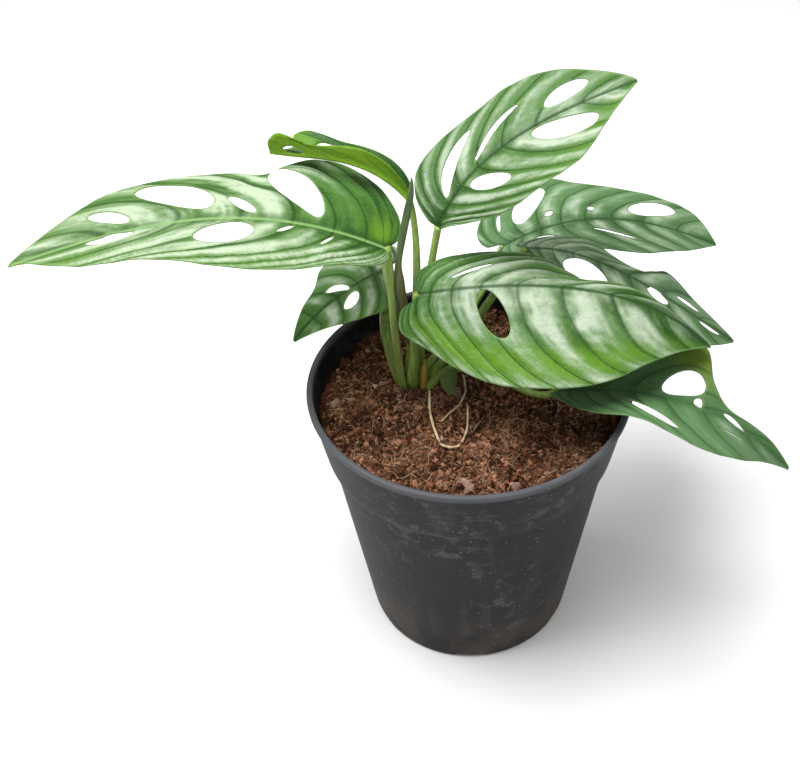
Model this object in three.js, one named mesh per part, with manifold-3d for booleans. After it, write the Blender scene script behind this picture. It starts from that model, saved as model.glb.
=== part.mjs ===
// Potted monstera: a round nursery pot of moist coir with a short stem, eight leaves on long stalks,
// a furled leaf, a bud, a seedling leaf and two air roots. Millimetres, +Z up, the pot's foot at z = 0.
import * as THREE from "three";
import { mergeVertices } from "three/addons/utils/BufferGeometryUtils.js";
import Module from "manifold-3d";

// Pot
const RIM_RADIUS = 75;
const POT_HEIGHT = 145;
const FOOT_RADIUS = 52.5;
const COLLAR_DEPTH = 32;
const COLLAR_STEP = 2.4;
const COLLAR_TAPER = 6;
const LIP_WIDTH = 3;
const WALL = 1.4;
const FLOOR_THICKNESS = 2;
const HEEL_RADIUS = 4;
const HOLE_COUNT = 8;
const HOLE_RADIUS = 5;
const HOLE_CIRCLE = 30;
const NOTCH_COUNT = 6;
const NOTCH_WIDTH = 16;
const NOTCH_HEIGHT = 2;

// Soil
const SOIL_BELOW_RIM = 14;
const SOIL_RELIEF = 1.2;
const GAP = 0.35;

// Plant: everything is placed from the stem's foot on the soil.
const STEM_X = -27;
const STEM_Y = 13;
const STEM_RADIUS = 4;
const STEM_HEIGHT = 26;
const STEM_BURIED = 8;
const PLANT_SIZE = 1;
const BLADE_THICKNESS = 0.8;
const CELL = 5.6;
const SOIL_Z = POT_HEIGHT - SOIL_BELOW_RIM;

const wasm = await Module();
wasm.setup();
const plant = new THREE.Group();

const radians = (degrees) => THREE.MathUtils.degToRad(degrees);
const vector = (a) => new THREE.Vector3(...a);

function material(colour, roughness) {
  return new THREE.MeshStandardMaterial({ color: colour, roughness, metalness: 0 });
}

const POT_BLACK = material(0x333436, 0.55);
const COIR = material(0x6b3f2a, 0.95);
const GREEN = material(0x4c8a42, 0.45);
const DARK_GREEN = material(0x3c6e3c, 0.45);
const YOUNG_GREEN = material(0x7fae2e, 0.45);
const STALK_GREEN = material(0x6f9440, 0.5);
const BUD_YELLOW = material(0xb79a34, 0.6);
const ROOT_CREAM = material(0xcbb58a, 0.7);

function add(name, geometry, look) {
  const mesh = new THREE.Mesh(geometry, look);
  mesh.name = name;
  plant.add(mesh);
}

// Joins and cuts go through manifold-3d.
function solid(geometry) {
  const only = new THREE.BufferGeometry();
  only.setAttribute("position", (geometry.index ? geometry.toNonIndexed() : geometry).getAttribute("position"));
  const merged = mergeVertices(only, 1e-4);
  return new wasm.Manifold(new wasm.Mesh({
    numProp: 3,
    vertProperties: merged.attributes.position.array,
    triVerts: new Uint32Array(merged.index.array),
  }));
}

function geometryOf(body) {
  const mesh = body.getMesh();
  const geometry = new THREE.BufferGeometry();
  geometry.setAttribute("position", new THREE.BufferAttribute(mesh.vertProperties, 3));
  geometry.setIndex(new THREE.BufferAttribute(mesh.triVerts, 1));
  return geometry;
}

function lathe(points, segments) {
  const geometry = new THREE.LatheGeometry(points.map(([r, z]) => new THREE.Vector2(r, z)), segments);
  return geometry.rotateX(Math.PI / 2);
}

// Pot: thin tapered wall, flat foot, stepped collar and a rolled lip.
function pot() {
  const stepZ = POT_HEIGHT - COLLAR_DEPTH;
  const collar = RIM_RADIUS - COLLAR_TAPER;
  const shoulder = collar - COLLAR_STEP;
  const inner = (radius) => radius - WALL;
  const profile = [
    [0, 0],
    [FOOT_RADIUS - HEEL_RADIUS, 0],
    [FOOT_RADIUS - HEEL_RADIUS * 0.3, HEEL_RADIUS * 0.3],
    [FOOT_RADIUS, HEEL_RADIUS],
    [shoulder, stepZ - 2],
    [collar, stepZ],
    [RIM_RADIUS - 1, POT_HEIGHT - 3],
    [RIM_RADIUS, POT_HEIGHT - 2.4],
    [RIM_RADIUS, POT_HEIGHT - 0.6],
    [RIM_RADIUS - 0.6, POT_HEIGHT],
    [RIM_RADIUS - LIP_WIDTH, POT_HEIGHT],
    [RIM_RADIUS - LIP_WIDTH, POT_HEIGHT - 3],
    [inner(collar), stepZ],
    [inner(shoulder), stepZ - 2],
    [inner(FOOT_RADIUS), FLOOR_THICKNESS + 2],
    [inner(FOOT_RADIUS) - 2, FLOOR_THICKNESS],
    [0, FLOOR_THICKNESS],
  ];
  let body = solid(lathe(profile, 48));
  for (let i = 0; i < HOLE_COUNT; i += 1) {
    const hole = new THREE.CylinderGeometry(HOLE_RADIUS, HOLE_RADIUS, 4 * FLOOR_THICKNESS, 16);
    hole.rotateX(Math.PI / 2);
    hole.translate(HOLE_CIRCLE, 0, 0);
    hole.rotateZ((2 * Math.PI * i) / HOLE_COUNT);
    body = body.subtract(solid(hole));
  }
  for (let i = 0; i < NOTCH_COUNT; i += 1) {
    const notch = new THREE.BoxGeometry(12, NOTCH_WIDTH, 2 * NOTCH_HEIGHT);
    notch.translate(FOOT_RADIUS - 4, 0, 0);
    notch.rotateZ((2 * Math.PI * i) / NOTCH_COUNT - Math.PI / 2);
    body = body.subtract(solid(notch));
  }
  return geometryOf(body);
}

// Height of the soil's gently lumpy top at (x, y).
function soilTop(x, y) {
  const lump = Math.sin(x * 0.11 + 1) * Math.cos(y * 0.13) + 0.5 * Math.sin(x * 0.23 - y * 0.19);
  return SOIL_Z + SOIL_RELIEF * lump;
}

// Inner radius of the pot's wall at height z.
function innerRadius(z) {
  const stepZ = POT_HEIGHT - COLLAR_DEPTH;
  const collar = RIM_RADIUS - COLLAR_TAPER;
  const shoulder = collar - COLLAR_STEP;
  if (z > stepZ) {
    const f = (z - stepZ) / (COLLAR_DEPTH - 3);
    return collar - WALL + f * (RIM_RADIUS - LIP_WIDTH - collar + WALL);
  }
  const f = (z - FLOOR_THICKNESS - 2) / (stepZ - FLOOR_THICKNESS - 4);
  return FOOT_RADIUS - WALL + f * (shoulder - FOOT_RADIUS);
}

function soil() {
  const stepZ = POT_HEIGHT - COLLAR_DEPTH;
  const low = FLOOR_THICKNESS + 3;
  const top = SOIL_Z - 4;
  const profile = [[0, low], [innerRadius(low) - 2 * GAP, low]];
  profile.push([innerRadius(stepZ - 3) - 2 * GAP, stepZ - 3]);
  profile.push([innerRadius(stepZ + 1) - 2 * GAP, stepZ + 1], [innerRadius(top) - 2 * GAP, top]);
  const edge = innerRadius(top) - 2 * GAP;
  for (let i = 0; i < 7; i += 1) {
    profile.push([edge * (1 - i / 7) - (i === 0 ? 0.6 : 0), SOIL_Z]);
  }
  profile.push([0, SOIL_Z]);
  const geometry = mergeVertices(lathe(profile, 32).deleteAttribute("uv").deleteAttribute("normal"), 1e-3);
  const p = geometry.attributes.position;
  for (let i = 0; i < p.count; i += 1) {
    if (p.getZ(i) > SOIL_Z - 1) {
      p.setZ(i, soilTop(p.getX(i), p.getY(i)));
    }
  }
  const pocket = new THREE.CylinderGeometry(STEM_RADIUS + GAP, STEM_RADIUS + GAP, 2 * (STEM_BURIED + GAP), 20);
  pocket.rotateX(Math.PI / 2);
  pocket.translate(STEM_X, STEM_Y, SOIL_Z);
  return geometryOf(solid(geometry).subtract(solid(pocket)));
}

// A closed tube of changing radius along a curve; radii holds the radius at even stations.
function tube(curve, radii, rings, sides) {
  const frames = curve.computeFrenetFrames(rings, false);
  const position = [];
  const index = [];
  const stations = new THREE.SplineCurve(radii.map((r, i) => new THREE.Vector2(i / (radii.length - 1), r)));
  for (let i = 0; i <= rings; i += 1) {
    const centre = curve.getPointAt(i / rings);
    const radius = stations.getPoint(i / rings).y;
    for (let j = 0; j < sides; j += 1) {
      const angle = (2 * Math.PI * j) / sides;
      const p = centre.clone();
      p.addScaledVector(frames.normals[i], radius * Math.cos(angle));
      p.addScaledVector(frames.binormals[i], radius * Math.sin(angle));
      position.push(p.x, p.y, p.z);
    }
  }
  for (let i = 0; i < rings; i += 1) {
    for (let j = 0; j < sides; j += 1) {
      const a = i * sides + j;
      const b = i * sides + ((j + 1) % sides);
      index.push(a, b, b + sides, a, b + sides, a + sides);
    }
  }
  for (let j = 1; j < sides - 1; j += 1) {
    const end = rings * sides;
    index.push(0, j + 1, j, end, end + j, end + j + 1);
  }
  const geometry = new THREE.BufferGeometry();
  geometry.setAttribute("position", new THREE.Float32BufferAttribute(position, 3));
  geometry.setIndex(index);
  return geometry;
}

// A point in plant coordinates, measured from the stem's foot.
function at(a) {
  return vector(a).multiplyScalar(PLANT_SIZE).add(new THREE.Vector3(STEM_X, STEM_Y, SOIL_Z));
}

// Blades. rib: the midrib's cubic in plant coordinates. roll: turn about the midrib at base and tip, degrees.
// fold: how far both halves rise from the rib, degrees. curl: further turn of each half 40 mm out, degrees.
// left, right: half outlines as [along the rib, out from it] from base to tip.
// holes: [side, place along, place across, half-length across, half-width along, slant] as shares of the blade.
const BLADES = {
  left: {
    rib: [[-9, -4, 80], [-61, -2, 104], [-108, 6, 90], [-173, -3, 70]],
    roll: [1, 1],
    fold: 3,
    curl: [0, 0],
    left: [[0, 2], [-2, 7], [5, 17], [17, 26], [34, 35], [58, 38], [82, 36], [106, 30], [130, 22], [150, 12],
      [162, 4], [169, 0.8]],
    right: [[0, 2], [-5, 9], [-3, 24], [8, 42], [24, 51], [40, 50], [53, 41], [63, 34], [80, 37], [108, 36],
      [134, 32], [151, 22], [162, 11], [169, 0.8]],
    holes: [[-1, 0.69, 0.56, 0.35, 0.044, 0.09], [-1, 0.81, 0.5, 0.28, 0.02, 0.03], [1, 0.82, 0.26, 0.24, 0.04, -0.07],
      [-1, 0.57, 0.29, 0.18, 0.03, 0.19], [1, 0.56, 0.34, 0.25, 0.063, 0], [-1, 0.43, 0.55, 0.49, 0.05, 0.18]],
  },
  upper_right: {
    rib: [[13, 17, 77], [26, 30, 106], [56, 40, 118], [99, 47, 132]],
    roll: [7, 7],
    fold: 5,
    curl: [0, 0],
    left: [[0, 2], [1, 7], [7, 17], [17, 24], [33, 26], [50, 27], [67, 29], [83, 26], [96, 18], [105, 9],
      [110, 0.8]],
    right: [[0, 2], [3, 6], [11, 16], [25, 28], [42, 36], [60, 38], [76, 35], [89, 25], [99, 14], [110, 0.8]],
    holes: [[1, 0.38, 0.43, 0.32, 0.056, 0.31], [1, 0.58, 0.36, 0.24, 0.036, 0.32], [-1, 0.46, 0.32, 0.23, 0.05, 0.15],
      [1, 0.8, 0.55, 0.28, 0.049, 0.03], [-1, 0.78, 0.45, 0.38, 0.065, 0.09]],
  },
  small_left: {
    rib: [[-11, 34, 43], [-26, 33, 38], [-46, 22, 29], [-57, 12, 16]],
    roll: [0, 0],
    fold: 0,
    curl: [0, 0],
    left: [[0, 2], [-6, 9], [-5, 22], [6, 30], [20, 26], [32, 19], [45, 10], [58, 0.8]],
    right: [[0, 2], [-6, 8], [0, 19], [14, 26], [28, 25], [36, 14], [46, 9], [58, 0.8]],
    holes: [[1, 0.61, 0.35, 0.21, 0.058, 0.21], [-1, 0.63, 0.26, 0.24, 0.05, 0.2]],
  },
  front_right: {
    rib: [[4, -8, 59], [46, -14, 71], [98, -16, 75], [132, -25, 43]],
    roll: [26, -4],
    fold: -21,
    curl: [-10, -6],
    left: [[0, 2], [-3, 8], [-2, 16], [7, 23], [24, 28], [44, 32], [58, 28.5], [67, 16], [74, 9.5], [86, 13],
      [102, 15.5], [118, 13.5], [130, 7], [136, 0.8]],
    right: [[0, 2], [-8, 7], [-9, 16], [0, 23.5], [14, 33.5], [32, 42], [52, 44.8], [74, 43.5], [94, 37],
      [110, 25], [124, 12], [136, 0.8]],
    holes: [[-1, 0.43, 0.29, 0.25, 0.048, 0.155], [1, 0.305, 0.47, 0.16, 0.036, 0.3]],
  },
  back_right: {
    rib: [[44, 75, 28], [82, 78, 51], [114, 78, 45], [154, 75, 29]],
    roll: [-4, -4],
    fold: 3,
    curl: [0, 0],
    left: [[0, 2], [-10, 9], [-13, 24], [-4, 40], [12, 50], [28, 48], [44, 35], [62, 30], [84, 31], [98, 27],
      [107, 17], [113, 0.8]],
    right: [[0, 2], [-5, 8], [0, 19], [12, 27], [32, 30], [54, 33], [74, 33], [89, 26], [101, 14], [113, 0.8]],
    holes: [[1, 0.77, 0.51, 0.3, 0.06, 0.07], [-1, 0.62, 0.47, 0.2, 0.04, 0.34], [1, 0.34, 0.55, 0.27, 0.063, 0.22],
      [-1, 0.37, 0.41, 0.16, 0.04, 0.27]],
  },
  mid_right: {
    rib: [[53, 27, 59], [86, 30, 61], [126, 23, 29], [155, 17, 12]],
    roll: [0, 0],
    fold: -10,
    curl: [0, 0],
    left: [[0, 2], [-4, 6], [8, 12], [24, 17], [38, 19], [52, 14], [66, 16], [78, 28], [90, 20], [104, 11],
      [117, 0.8]],
    right: [[0, 2], [2, 6], [12, 16], [30, 27], [50, 31], [72, 28], [92, 19], [106, 10], [117, 0.8]],
    holes: [[-1, 0.42, 0.38, 0.28, 0.1, 0], [1, 0.83, 0.47, 0.22, 0.05, 0.09]],
  },
  low_right: {
    rib: [[67, -27, 20], [98, -37, 30], [129, -47, 39], [167, -57, 0]],
    roll: [6, 6],
    fold: 14,
    curl: [0, 0],
    left: [[0, 2], [-3, 8], [6, 16], [24, 23], [44, 29], [58, 32], [67, 28], [73, 14], [82, 6], [94, 5],
      [104, 4], [114, 0.8]],
    right: [[0, 2], [-2, 6], [10, 13], [26, 19], [44, 21], [60, 25], [76, 28], [89, 24], [101, 12], [114, 0.8]],
    holes: [[1, 0.63, 0.48, 0.36, 0.05, 0], [-1, 0.54, 0.56, 0.22, 0.045, 0.24]],
  },
  rolled: {
    rib: [[0, 29, 83.5], [-19, 34.8, 104], [-40, 39, 97.5], [-62, 41, 100.2]],
    roll: [30, 30],
    fold: 62,
    curl: [0, -30],
    left: [[0, 1.4], [4, 4], [13, 7], [26, 8.5], [38, 7.6], [48, 6.6], [58, 7], [66, 9.5], [72, 10], [76, 6],
      [75, 0.8]],
    right: [[0, 1.4], [4, 6], [14, 9.5], [27, 10.5], [40, 10.5], [51, 12.5], [59, 13.5], [65, 11], [64, 5],
      [69, 2.5], [75, 0.8]],
    holes: [],
  },
  seedling: {
    rib: [[19, -10, 3], [19, -11, 9], [17.5, -12.5, 15], [15.2, -14, 21]],
    roll: [75, 75],
    fold: 8,
    curl: [0, 0],
    left: [[0, 1], [2, 3.2], [8, 4.6], [14, 3.4], [18, 0.8]],
    right: [[0, 1], [2, 3.2], [8, 4.6], [14, 3.4], [18, 0.8]],
    holes: [],
  },
};

// Smooth curve through evenly spaced outline points, at share s of the way.
function outlineAt(points, s) {
  const last = points.length - 1;
  const x = Math.min(Math.max(s, 0), 1) * last;
  const i = Math.min(Math.floor(x), last - 1);
  const f = x - i;
  const pick = (k) => points[Math.min(Math.max(k, 0), last)];
  const [a, b, c, d] = [pick(i - 1), pick(i), pick(i + 1), pick(i + 2)];
  return [0, 1].map((k) => 0.5 * (2 * b[k] + (c[k] - a[k]) * f + (2 * a[k] - 5 * b[k] + 4 * c[k] - d[k]) * f * f
    + (3 * b[k] - a[k] - 3 * c[k] + d[k]) * f ** 3));
}

// The blade's middle surface: s runs from base to tip, t from the rib (0) to the edge (1 left, -1 right).
function bladeSurface(blade) {
  const curve = new THREE.CubicBezierCurve3(...blade.rib.map(at));
  const length = curve.getLength();
  const nominal = blade.left[blade.left.length - 1][0];
  return (s, t) => {
    const from = nominal * s * (0.3 + 0.7 * s);
    const [edge, half] = outlineAt(t >= 0 ? blade.left : blade.right, s);
    const across = Math.abs(t);
    const u = from + (edge - from) * across ** 1.3;
    const v = half * across * PLANT_SIZE;
    const q = u / nominal;
    const onRib = Math.min(Math.max(q, 0), 1);
    const point = curve.getPoint(onRib);
    const along = curve.getTangent(onRib);
    point.addScaledVector(along, (q - onRib) * length);
    const side = new THREE.Vector3(0, 0, 1).cross(along).normalize();
    const up = along.clone().cross(side);
    const roll = radians(blade.roll[0] + (blade.roll[1] - blade.roll[0]) * onRib);
    const outward = side.clone().multiplyScalar(Math.cos(roll)).addScaledVector(up, Math.sin(roll));
    const normal = up.clone().multiplyScalar(Math.cos(roll)).addScaledVector(side, -Math.sin(roll));
    const turn = radians(t >= 0 ? blade.curl[0] : blade.curl[1]) * (v / 40);
    const rise = radians(blade.fold) + turn / 2;
    const chord = v * (Math.abs(turn) > 1e-6 ? Math.sin(turn / 2) / (turn / 2) : 1);
    point.addScaledVector(outward, Math.sign(t) * chord * Math.cos(rise));
    return point.addScaledVector(normal, chord * Math.sin(rise));
  };
}

// Triangles that touch the rest at one corner only are dropped, so every corner ends up in one fan.
function withoutPinches(triangles) {
  const around = new Map();
  for (const triangle of triangles) {
    for (const corner of triangle) {
      around.set(corner, [...(around.get(corner) || []), triangle]);
    }
  }
  const dropped = new Set();
  for (const fan of around.values()) {
    const joined = [fan[0]];
    for (const triangle of joined) {
      const next = fan.filter((other) => other.filter((c) => triangle.includes(c)).length === 2);
      joined.push(...next.filter((other) => !joined.includes(other)));
    }
    const apart = fan.filter((triangle) => !joined.includes(triangle));
    if (apart.length) {
      (joined.length < apart.length ? joined : apart).forEach((triangle) => dropped.add(triangle));
    }
  }
  return dropped.size ? withoutPinches(triangles.filter((triangle) => !dropped.has(triangle))) : triangles;
}

// A blade as a thin closed solid with its holes cut through.
function bladeSolid(blade) {
  const surface = bladeSurface(blade);
  const nominal = blade.left[blade.left.length - 1][0];
  const widest = (points) => Math.max(...points.map((p) => p[1]));
  const rows = Math.max(6, Math.round((nominal * PLANT_SIZE) / CELL));
  const leftColumns = Math.max(2, Math.round((widest(blade.left) * PLANT_SIZE) / CELL));
  const rightColumns = Math.max(2, Math.round((widest(blade.right) * PLANT_SIZE) / CELL));
  const columns = leftColumns + rightColumns;
  const holes = blade.holes.map(([side, s, t, a, b, slant]) => ({ s, t: side * t, a, b, slant: side * slant }));
  const reach = (hole, s, t) => {
    const x = (t - hole.t) / hole.a;
    const y = (s - hole.s - hole.slant * (t - hole.t)) / hole.b;
    return Math.hypot(x, y);
  };
  // The nearest point of a hole's rim to (s, t), with the distance counted in grid cells.
  const settle = (hole, s, t, cellS, cellT) => {
    let [ps, pt] = [s, t];
    for (let k = 0; k < 4; k += 1) {
      const x = (pt - hole.t) / hole.a;
      const y = (ps - hole.s - hole.slant * (pt - hole.t)) / hole.b;
      const r = Math.max(Math.hypot(x, y), 1e-3);
      const gt = ((x / hole.a - (y * hole.slant) / hole.b) / r) * cellT;
      const gs = (y / hole.b / r) * cellS;
      const step = (r - 1) / Math.max(gt * gt + gs * gs, 1e-6);
      ps -= step * gs * cellS;
      pt -= step * gt * cellT;
    }
    const distance = Math.hypot((ps - s) / cellS, (pt - t) / cellT);
    return { s: ps, t: pt, distance, inside: reach(hole, s, t) < 1 };
  };
  const grid = [];
  for (let i = 0; i <= rows; i += 1) {
    for (let j = 0; j <= columns; j += 1) {
      let s = i / rows;
      let t = j < leftColumns ? 1 - j / leftColumns : -(j - leftColumns) / rightColumns;
      const step = t > 0 ? 1 / leftColumns : 1 / rightColumns;
      if (Math.abs(t) < 0.999 && t !== 0) {
        for (const hole of holes) {
          const moved = settle(hole, s, t, 1 / rows, step);
          if (moved.distance < (moved.inside ? 0.9 : 0.5)) {
            [s, t] = [moved.s, moved.t];
            break;
          }
        }
      }
      grid.push([s, Math.min(Math.max(t, -1), 1)]);
    }
  }
  const kept = [];
  const keep = (...corners) => {
    const s = corners.reduce((sum, k) => sum + grid[k][0], 0) / 3;
    const t = corners.reduce((sum, k) => sum + grid[k][1], 0) / 3;
    if (holes.every((hole) => reach(hole, s, t) > 1)) {
      kept.push(corners);
    }
  };
  for (let i = 0; i < rows; i += 1) {
    for (let j = 0; j < columns; j += 1) {
      const a = i * (columns + 1) + j;
      const b = a + columns + 1;
      if (j < leftColumns) {
        keep(a, b + 1, b);
        keep(a, a + 1, b + 1);
      } else {
        keep(a, a + 1, b);
        keep(b, a + 1, b + 1);
      }
    }
  }
  const position = [];
  const delta = 1e-3;
  for (const level of [0.5, -0.5]) {
    for (const [s, t] of grid) {
      const inside = Math.min(Math.max(s, delta), 1 - delta);
      const within = Math.sign(t || 1) * Math.min(Math.max(Math.abs(t), delta), 1 - delta);
      const ds = surface(inside + delta, within).sub(surface(inside - delta, within));
      const dt = surface(inside, within + delta / 2).sub(surface(inside, within - delta / 2));
      const p = surface(s, t).addScaledVector(ds.cross(dt).normalize(), level * BLADE_THICKNESS);
      position.push(p.x, p.y, p.z);
    }
  }
  const under = grid.length;
  const index = [];
  const edges = new Map();
  for (const [a, b, c] of withoutPinches(kept)) {
    index.push(a, b, c, a + under, c + under, b + under);
    for (const [p, q] of [[a, b], [b, c], [c, a]]) {
      const twin = q * under + p;
      if (!edges.delete(twin)) {
        edges.set(p * under + q, [p, q]);
      }
    }
  }
  for (const [p, q] of edges.values()) {
    index.push(p, p + under, q + under, p, q + under, q);
  }
  const geometry = new THREE.BufferGeometry();
  geometry.setAttribute("position", new THREE.Float32BufferAttribute(position, 3));
  geometry.setIndex(index);
  return mergeVertices(geometry, 1e-4);
}

// Stalks: from beside the stem, at a bearing (degrees), height and clear distance, to just short of a blade's
// base. lift is the climb of the curve's lower handle; drop is its upper handle from the blade's base.
const STALKS = {
  left: { bearing: 215, height: 8, clear: 0, lift: [-2, -2, 34], drop: [2, 0, -26], radii: [2.2, 2, 1.9, 1.5] },
  upper_right: { bearing: 55, height: 17, clear: 0, lift: [2, 3, 22], drop: [-3, 2, -18], radii: [2.1, 1.9, 1.6] },
  small_left: { bearing: 165, height: 3, clear: 0.6, lift: [-8, 4, 18], drop: [-2, -4, -12], radii: [2.4, 3.2, 1.4] },
  front_right: { bearing: 272, height: 12, clear: 0, lift: [3, -1, 18], drop: [-3, 1, -16], radii: [2.2, 2, 1.6] },
  back_right: { bearing: 42, height: 4, clear: 0.6, lift: [18, 6, 22], drop: [-8, -14, -18], radii: [2, 1.8, 1.6] },
  mid_right: { bearing: 8, height: 4, clear: 2.5, lift: [16, -2, 22], drop: [-10, -4, -14], radii: [2.1, 1.9, 1.6] },
  low_right: { bearing: 338, height: 2.5, clear: 3, lift: [20, 4, 28], drop: [-14, -3, -14], radii: [2, 1.8, 1.6] },
  rolled: { bearing: 90, height: 15, clear: 0, lift: [3, 5, 28], drop: [4, 3, -20], radii: [1.9, 1.8, 1.5] },
};

function beside(bearing, height, clear, radius) {
  const out = STEM_RADIUS + radius + GAP + clear;
  const turn = radians(bearing);
  return new THREE.Vector3(STEM_X + out * Math.cos(turn), STEM_Y + out * Math.sin(turn), SOIL_Z + height);
}

function stalk(name) {
  const { bearing, height, clear, lift, drop, radii } = STALKS[name];
  const foot = beside(bearing, height, clear, radii[0]);
  const base = at(BLADES[name].rib[0]);
  const handle = base.clone().add(vector(drop).multiplyScalar(PLANT_SIZE));
  const back = handle.clone().sub(base).normalize();
  const tip = radii[radii.length - 1];
  const end = base.clone().addScaledVector(back, BLADE_THICKNESS + tip * 0.6 + GAP);
  const rise = foot.clone().add(vector(lift).multiplyScalar(PLANT_SIZE));
  return tube(new THREE.CubicBezierCurve3(foot, rise, handle, end), radii, 14, 8);
}

// An air root: runs over the soil through the given plan points, measured from the stem's foot.
function airRoot(points, radius, rings) {
  const plan = new THREE.CatmullRomCurve3(points.map(([x, y]) => new THREE.Vector3(STEM_X + x, STEM_Y + y, 0)));
  const path = [];
  for (let i = 0; i <= rings; i += 1) {
    const p = plan.getPoint(i / rings);
    path.push(p.setZ(soilTop(p.x, p.y) + radius + 2 * GAP));
  }
  return tube(new THREE.CatmullRomCurve3(path), [radius, radius, radius * 0.8], rings * 2, 6);
}

add("pot", pot(), POT_BLACK);
add("soil", soil(), COIR);

const stemTop = new THREE.Vector3(STEM_X, STEM_Y, SOIL_Z + STEM_HEIGHT);
const stemFoot = new THREE.Vector3(STEM_X, STEM_Y, SOIL_Z - STEM_BURIED);
const STEM_RADII = [STEM_RADIUS * 0.9, STEM_RADIUS, STEM_RADIUS * 0.8, STEM_RADIUS * 0.5];
add("stem", tube(new THREE.LineCurve3(stemFoot, stemTop), STEM_RADII, 8, 16), STALK_GREEN);

// The furled leaf stands on the stem's top; the bud sits against the stem's foot.
const furledFoot = stemTop.clone().add(new THREE.Vector3(0, 0, GAP));
const furled = new THREE.CubicBezierCurve3(furledFoot, at([-5, -1, 50]), at([-7, -3, 72]), at([3, -1, 112]));
add("furled_leaf", tube(furled, [1.6, 2.2, 2.9, 2.4, 1.5, 0.3], 20, 10), STALK_GREEN);
const budFoot = beside(322, 2.2, 0, 1.6);
const budTip = budFoot.clone().add(new THREE.Vector3(1.4, -0.8, 18));
add("bud", tube(new THREE.LineCurve3(budFoot, budTip), [1.4, 1.7, 1.3, 0.3], 8, 10), BUD_YELLOW);
add("air_root_loop", airRoot([[8, -7], [9, -24], [13, -41], [17, -45], [21, -44], [24, -39], [26, -31], [26, -17]],
  0.6, 16), ROOT_CREAM);
add("air_root_short", airRoot([[24, 4], [25, -8], [22, -17], [14, -28]], 0.5, 8), ROOT_CREAM);

const LOOKS = { small_left: DARK_GREEN, low_right: DARK_GREEN, seedling: DARK_GREEN, rolled: YOUNG_GREEN };
for (const name of Object.keys(BLADES)) {
  add("leaf_" + name, bladeSolid(BLADES[name]), LOOKS[name] || GREEN);
}
for (const name of Object.keys(STALKS)) {
  add("stalk_" + name, stalk(name), STALK_GREEN);
}

export default plant;
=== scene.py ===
"""Potted monstera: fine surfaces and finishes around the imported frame.

Sizes are millimetres, Z up, until a mesh is made; blades and stalks are placed from the stem's foot.
Shader patterns read object coordinates, which are metres.
"""
import math

import bpy
import numpy as np
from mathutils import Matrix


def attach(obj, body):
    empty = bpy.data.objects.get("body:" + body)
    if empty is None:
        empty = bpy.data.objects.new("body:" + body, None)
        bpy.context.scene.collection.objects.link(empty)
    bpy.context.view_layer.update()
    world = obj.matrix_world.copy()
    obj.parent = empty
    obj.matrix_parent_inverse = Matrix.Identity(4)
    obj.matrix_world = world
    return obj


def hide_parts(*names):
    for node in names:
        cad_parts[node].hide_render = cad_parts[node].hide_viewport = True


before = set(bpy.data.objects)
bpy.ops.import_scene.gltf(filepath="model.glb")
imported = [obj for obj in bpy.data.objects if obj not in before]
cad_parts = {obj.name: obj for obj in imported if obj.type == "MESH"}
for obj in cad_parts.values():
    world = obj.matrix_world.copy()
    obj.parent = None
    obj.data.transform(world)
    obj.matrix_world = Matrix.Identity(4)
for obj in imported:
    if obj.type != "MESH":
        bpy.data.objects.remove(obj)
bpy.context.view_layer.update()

MM = 0.001
RIM_RADIUS = 75.0
POT_HEIGHT = 145.0
FOOT_RADIUS = 52.5
COLLAR_Z = 113.0
COLLAR_RADIUS = 69.0
SHOULDER_RADIUS = 66.6
LIP_WIDTH = 3.0
WALL = 1.4
FLOOR_TOP = 2.0
NOTCH_COUNT = 6
NOTCH_HALF_WIDTH = 8.0
HOLE_COUNT = 8
HOLE_CIRCLE = 30.0
HOLE_RADIUS = 5.0
POT_SIDES = 288
SOIL_Z = 131.0
SOIL_EDGE = 70.2
STEM_FOOT = np.array([-27.0, 13.0, SOIL_Z])
STEM_RADIUS = 4.0
STEM_HEIGHT = 26.0
STALK_GAP = 0.35
BLADE_THICKNESS = 0.5
BLADE_CELL = 0.95
RIPPLE_TABLE = 64
TURN = 2 * math.pi
UP = np.array([0.0, 0.0, 1.0])


# ---- meshes

def linked(name, data):
    """A new object of the scene."""
    made = bpy.data.objects.new(name, data)
    bpy.context.scene.collection.objects.link(made)
    return made


def make_piece(name, corners, faces, material, replaces=(), uv=None, values=None, smooth=True):
    """Puts arrays of corners (mm) and triangles into a mesh piece that rides on the root body."""
    used, faces = np.unique(faces, return_inverse=True)
    faces = faces.reshape(-1, 3).astype(np.int32)
    mesh = bpy.data.meshes.new(name)
    mesh.vertices.add(len(used))
    mesh.vertices.foreach_set("co", (corners[used] * MM).astype(np.float32).ravel())
    mesh.loops.add(faces.size)
    mesh.loops.foreach_set("vertex_index", faces.ravel())
    mesh.polygons.add(len(faces))
    mesh.polygons.foreach_set("loop_start", np.arange(0, faces.size, 3, dtype=np.int32))
    mesh.update(calc_edges=True)
    mesh.polygons.foreach_set("use_smooth", np.full(len(faces), smooth))
    if uv is not None:
        layer = mesh.uv_layers.new(name="across")
        layer.data.foreach_set("uv", uv[used][faces.ravel()].astype(np.float32).ravel())
    for key, value in (values or {}).items():
        mesh.attributes.new(key, "FLOAT", "POINT").data.foreach_set("value", value[used].astype(np.float32))
    mesh.materials.append(material)
    piece = linked(name, mesh)
    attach(piece, "root")
    if replaces:
        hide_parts(*replaces)


def grid_faces(rows, columns, wrap=False):
    """Two triangles for each cell of a grid of corners; wrap joins the last column to the first."""
    i, j = np.meshgrid(np.arange(rows - 1), np.arange(columns if wrap else columns - 1), indexing="ij")
    a = i * columns + j
    b = i * columns + (j + 1) % columns
    c, d = b + columns, a + columns
    return np.concatenate([np.stack([a, b, c], -1).reshape(-1, 3), np.stack([a, c, d], -1).reshape(-1, 3)])


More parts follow.
